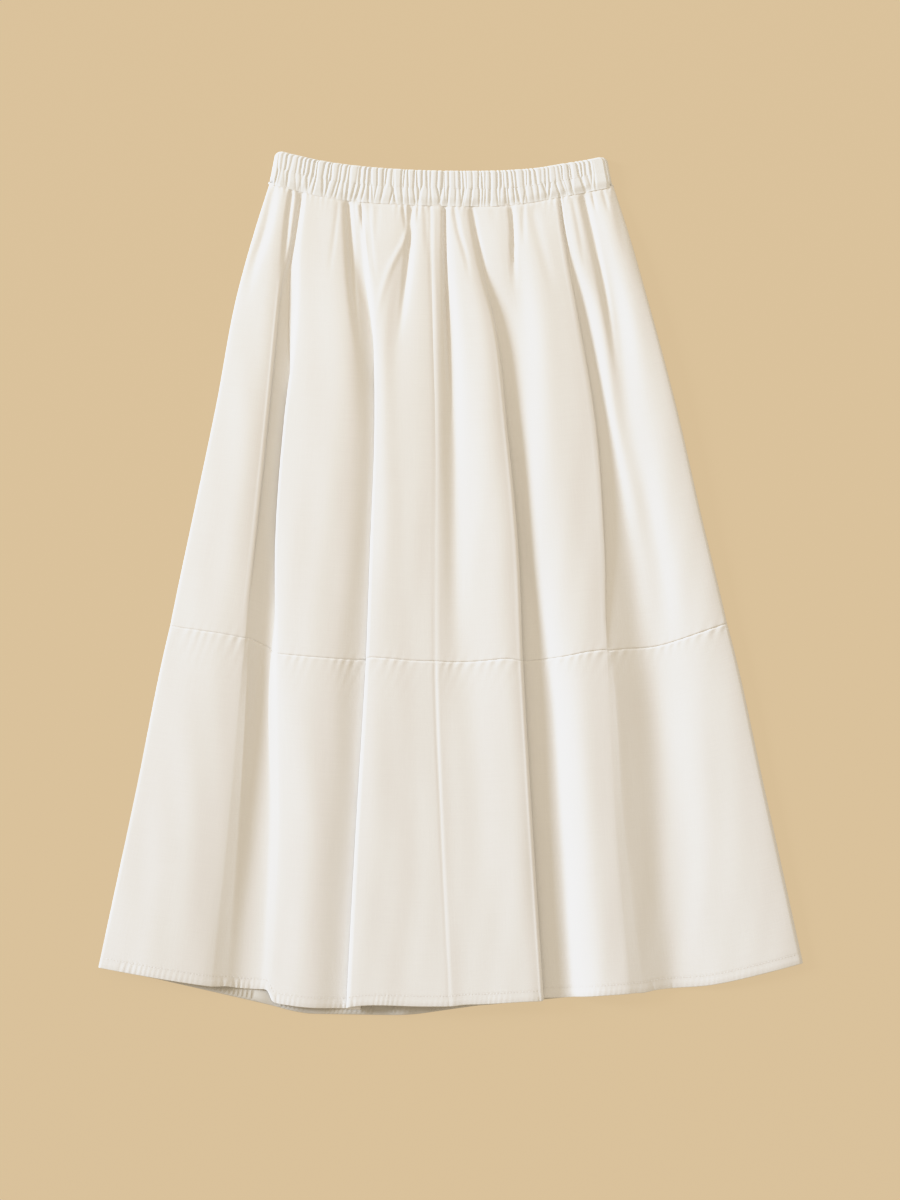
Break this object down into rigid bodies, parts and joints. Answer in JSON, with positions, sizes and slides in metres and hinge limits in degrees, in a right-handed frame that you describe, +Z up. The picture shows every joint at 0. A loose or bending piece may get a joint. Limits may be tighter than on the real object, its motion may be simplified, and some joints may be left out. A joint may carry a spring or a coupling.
{
  "type": "pleated midi skirt",
  "caption": "Midi skirt laid flat, with a gathered elastic waistband, soft lapped folds, a tier seam across it and a plain hem.",
  "frame": {"origin": "middle of the rectangle the skirt covers, on the surface it lies on", "axes": "+X across the skirt to the viewer's right, +Y up its length from hem to waist, +Z up from the surface it lies on"},
  "size_m": [0.6762, 0.8279, 0.0155],
  "materials": {
    "cotton_cloth": "off-white plain cotton cloth, matt, with a fine even weave",
    "cotton_cloth_back": "the same cloth, seen from its inner side",
    "gathered_casing": "the same cloth gathered over elastic, in fine ribs with a row of stitching along the middle"
  },
  "bodies": {
    "root": {"waistband_front": "gathered_casing", "waistband_back": "gathered_casing", "front_upper_left": "cotton_cloth", "front_upper_right": "cotton_cloth", "front_lower_left": "cotton_cloth", "front_lower_right": "cotton_cloth", "back_upper": "cotton_cloth_back", "back_lower": "cotton_cloth_back"}
  },
  "joints": []
}
